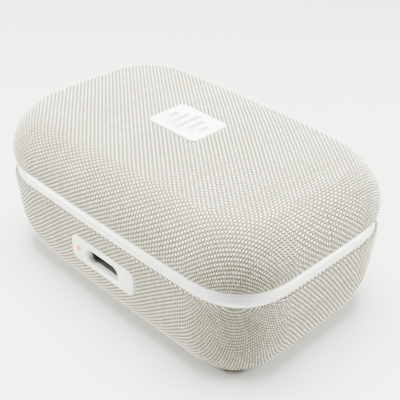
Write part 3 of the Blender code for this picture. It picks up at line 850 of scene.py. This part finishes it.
def make_liner():
    low, high = node_box("lid_liner")
    low, high = low[2], high[2]
    flange, wall = 3.4, 4.8
    rows = [(wall + 3.0, high), (wall + 1.8, high - 0.45), (wall + 0.9, high - 1.4),
            (wall + 0.3, high - 2.6), (wall, high - 4.0), (wall, low + 0.8), (flange, low + 0.8),
            (flange, low + 0.15), (flange + 0.15, low), (wall + 0.7, low), (wall + 0.92, low + 0.08),
            (wall + 1.0, low + 0.3), (wall + 1.0, high - 4.0), (wall + 1.25, high - 2.9),
            (wall + 1.7, high - 2.0), (wall + 2.4, high - 1.3), (wall + 3.3, high - 1.0)]
    liner = loft("lid_liner_moulding", [at_height(outline(inset), z) for inset, z in rows])
    finished(liner, "white_plastic", "lid", "lid_liner", look=INSIDE_WHITE)


def make_badge():
    """A plain rounded badge with five sunk bars, like a sound level."""
    low, high = node_box("lid_badge")
    width, depth = (high - low)[:2]
    top = high[2] + BADGE_PROUD
    rows = []
    for inset, z in ((0.12, low[2] + 0.05), (0.0, low[2] + 0.15), (0.0, top - 0.12), (0.04, top - 0.04),
                     (0.14, top)):
        plan = rounded_rect(width - 2 * inset, depth - 2 * inset, 1.1 - inset)
        rows.append(at_height(plan, z))
    badge = loft("lid_badge_moulding", rows, sharp_deg=60)
    cuts = []
    for number, tall in enumerate((2.4, 4.4, 6.6, 4.4, 2.4)):
        bar = rounded_rect(1.05, tall, 0.5)
        place = (number - 2) * BAR_PITCH, 0
        cuts.append(("DIFFERENCE", prism("bar", bar, "Z", top - BAR_DEEP, top + 1, place)))
    finished(boolean(badge, *cuts), "badge", "lid", "lid_badge")


SCOOP_W, SCOOP_H, SCOOP_R = 9.54, 3.40, 1.65  # the recess round the USB-C socket
SCOOP_DOWN = 0.42  # its centre below the plate's
PLATE_R = 1.6
LAMP_HOLE_R, LENS_R = 0.72, 0.68


def make_socket_plate():
    """The plate with its recess and the status lamp's lens."""
    low, high = node_box("socket_plate")
    width, deep, height = high - low
    centre = ((low + high) / 2)[[0, 2]]
    front = low[1]
    rows = []
    for inset, y in ((0.22, front), (0.07, front + 0.06), (0.0, front + 0.2), (0.0, front + deep)):
        plan = rounded_rect(width - 2 * inset, height - 2 * inset, PLATE_R - inset)
        rows.append(along("Y", plan, y, centre))
    plate = loft("socket_plate_moulding", rows, sharp_deg=60)
    scoop = []
    for grow, y in ((0.34, front - 0.3), (0.30, front), (0.14, front + 0.10), (0.03, front + 0.30),
                    (0.0, front + 0.6), (0.0, front + deep + 1)):
        plan = rounded_rect(SCOOP_W + 2 * grow, SCOOP_H + 2 * grow, SCOOP_R + grow, 14)
        scoop.append(along("Y", plan, y, centre - (0, SCOOP_DOWN)))
    lamp_low, lamp_high = node_box("light_pipe")
    lamp_at = ((lamp_low[0] + lamp_high[0]) / 2, centre[1])
    hole = prism("lamp_hole", circle(LAMP_HOLE_R), "Y", front - 1, front + deep + 1, lamp_at)
    boolean(plate, ("DIFFERENCE", loft("scoop", scoop)), ("DIFFERENCE", hole))
    plate.data.set_sharp_from_angle(angle=radians(48))
    finished(plate, "socket_plate", "base", "socket_plate")
    profile = [(0.50, front + 0.08), (LENS_R, front + 0.14), (LENS_R, front + 3.6)]
    lens = turned("status_light_lens", profile, lamp_at, "Y")
    finished(lens, "lamp", "base", "light_pipe")


PAD_PITCH, PAD_W = 0.5, 0.26


def make_usb_socket():
    """The receptacle's drawn shell, and its tongue with two rows of contacts."""
    low, high = node_box("usb_c_shell")
    centre = ((low + high) / 2)[[0, 2]]
    wide, tall = (high - low)[[0, 2]]
    mouth = low[1] + 0.1
    rows = []
    for inset, y in ((0.0, high[1]), (0.0, mouth + 0.12), (0.06, mouth), (0.20, mouth - 0.02),
                     (0.28, mouth + 0.08), (0.30, high[1] - 0.8)):
        plan = rounded_rect(wide - 2 * inset, tall - 2 * inset, 1.5 - inset, 14)
        rows.append(along("Y", plan, y, centre))
    shell = loft("usb_c_shell_drawn", rows)
    finished(shell, "steel", "base", "usb_c_shell", look=SHADED_STEEL)
    low, high = node_box("usb_c_tongue")
    centre = ((low + high) / 2)[[0, 2]]
    plan_w, plan_h = (high - low)[[0, 2]]
    rows = [along("Y", rounded_rect(plan_w - 0.3, plan_h - 0.3, 0.15), low[1], centre),
            along("Y", rounded_rect(plan_w, plan_h, 0.2), low[1] + 0.3, centre),
            along("Y", rounded_rect(plan_w, plan_h, 0.2), high[1], centre)]
    finished(loft("usb_c_tongue_moulding", rows), "inner_shell", "base", "usb_c_tongue")
    box_faces = ((0, 1, 3, 2), (4, 6, 7, 5), (0, 4, 5, 1), (2, 3, 7, 6), (0, 2, 6, 4), (1, 5, 7, 3))
    pads, faces = [], []
    for side in (-1, 1):
        for number in range(12):
            x = (number - 5.5) * PAD_PITCH
            z = centre[1] + side * (plan_h / 2 + 0.01)
            start = len(pads)
            pads += [(x + sx * PAD_W / 2, y, z + sz * 0.02) for sz in (-1, 1)
                     for y in (low[1] + 0.5, high[1] - 1) for sx in (-1, 1)]
            faces += [tuple(start + k for k in face) for face in box_faces]
    finished(facing_out(mesh_object("usb_c_contacts", pads, faces, smooth=False)), "gold", "base")


CUPS = ((20.8, 1.0, 9.8, 9.0), (17.5, -8.0, 6.0, 6.6))  # x, y, radius and floor of bowl and well
CONTACT_X, CONTACT_Y = 24.5, (-0.5, 3.5)
DECK_IN, DECK_THICK = 3.9, 1.2


def make_cradle():
    """The deck and its two pockets, each a round bowl and a deeper well, with softened rims."""
    _, high = node_box("cradle_tray")
    deck_top = high[2]
    tray = loft("cradle_tray_moulding", [at_height(outline(DECK_IN), z)
                                         for z in (deck_top - DECK_THICK, deck_top)])
    steps = []
    for operation, wall, top, rounding in (("UNION", 1.0, deck_top - 0.6, 3.0),
                                           ("DIFFERENCE", 0.0, deck_top + 3, 2.2)):
        for side in (-1, 1):
            for x, y, radius, floor in CUPS:
                profile = []
                for k in range(9):
                    t = pi / 2 * k / 8
                    profile.append((radius + wall - rounding * (1 - sin(t)),
                                    floor - wall + rounding * (1 - cos(t))))
                profile.append((radius + wall, top))
                steps.append((operation, turned("cup", profile, (side * x, y), "Z", 96)))
    for side in (-1, 1):
        for y in CONTACT_Y:
            hole = prism("hole", circle(0.75, 24), "Z", 6, 12, (side * CONTACT_X, y))
            steps.append(("DIFFERENCE", hole))
    boolean(tray, *steps)
    bevelled(tray, 0.32, 3)
    finished(tray, "white_plastic", "base", "cradle_tray", look=INSIDE_WHITE)


def make_contacts():
    """Charging contacts with domed heads."""
    for side in ("left", "right"):
        for number in (1, 2):
            name = f"contact_pin_{side}_{number}"
            low, high = node_box(name)
            centre = ((low + high) / 2)[:2]
            r = (high[0] - low[0]) / 2
            profile = [(r, low[2])]
            for k in range(7):
                t = pi / 2 * k / 6
                profile.append((max(0.02, r * cos(t)), high[2] - 0.3 + 0.3 * sin(t)))
            pin = turned(f"contact_{side}_{number}_plunger", profile, centre, "Z", 32)
            finished(pin, "gold", f"contact_{side}_{number}", name)


# ---------------------------------------------------------------- stage
FLOOR_HALF = 4000


def make_stage():
    corners = [(x * FLOOR_HALF, y * FLOOR_HALF, 0) for x, y in ((-1, -1), (1, -1), (1, 1), (-1, 1))]
    floor = mesh_object("floor", corners, [(0, 1, 2, 3)], smooth=False)
    s = Shader("pale_floor", (0.50, 0.50, 0.49), 0.6)
    s.set("Base Color", s.mix(s.noise(3, 2), (0.49, 0.49, 0.48, 1), (0.51, 0.51, 0.50, 1)))
    floor.data.materials.append(s.material)
    world = bpy.data.worlds.new("studio")
    world.use_nodes = True
    world.node_tree.nodes["Background"].inputs["Color"].default_value = (1.0, 0.99, 0.97, 1)
    world.node_tree.nodes["Background"].inputs["Strength"].default_value = 0.16
    bpy.context.scene.world = world


def softbox(name, place, target, size, watts, colour=(1, 1, 1)):
    light = bpy.data.lights.new(name, "AREA")
    light.shape = "RECTANGLE"
    light.size, light.size_y = (s * MM for s in size)
    light.energy = watts
    light.color = colour
    made = bpy.data.objects.new(name, light)
    made.location = Vector(place) * MM
    aim = Vector(target) - Vector(place)
    made.rotation_mode = "QUATERNION"
    made.rotation_quaternion = aim.to_track_quat("-Z", "Y")
    bpy.context.scene.collection.objects.link(made)


def make_lights():
    softbox("overhead", (-30, 30, 420), (0, 0, 20), (240, 240), 14.5)
    softbox("front_box", (75, -80, 400), (20, -15, 22), (110, 110), 2.9)
    softbox("left_box", (-190, -150, 110), (-20, -10, 15), (120, 120), 2.7, (1.0, 0.985, 0.95))
    softbox("right_box", (170, 190, 110), (20, 15, 15), (120, 120), 2.9, (1.0, 0.99, 0.96))


CAMERA_AT = (101.64, -97.05, 109.55)
CAMERA_AZIMUTH, CAMERA_ELEVATION, CAMERA_ROLL = 45.30, 33.42, 0.68
CAMERA_LENS, SENSOR = 73.35, 36.0


def make_camera():
    azimuth, elevation = radians(CAMERA_AZIMUTH), radians(CAMERA_ELEVATION)
    forward = Vector((-sin(azimuth) * cos(elevation), cos(azimuth) * cos(elevation), -sin(elevation)))
    camera = bpy.data.cameras.new("camera")
    camera.lens, camera.sensor_width = CAMERA_LENS, SENSOR
    camera.clip_start, camera.clip_end = 0.01, 20
    made = bpy.data.objects.new("camera", camera)
    made.location = Vector(CAMERA_AT) * MM
    made.rotation_mode = "QUATERNION"
    roll = Quaternion(forward, -radians(CAMERA_ROLL))
    made.rotation_quaternion = roll @ forward.to_track_quat("-Z", "Y")
    bpy.context.scene.collection.objects.link(made)
    bpy.context.scene.camera = made


def main():
    dress_frame()
    make_cloth()
    make_seam()
    make_liner()
    make_badge()
    make_socket_plate()
    make_usb_socket()
    make_cradle()
    make_contacts()
    make_stage()
    make_lights()
    make_camera()


main()
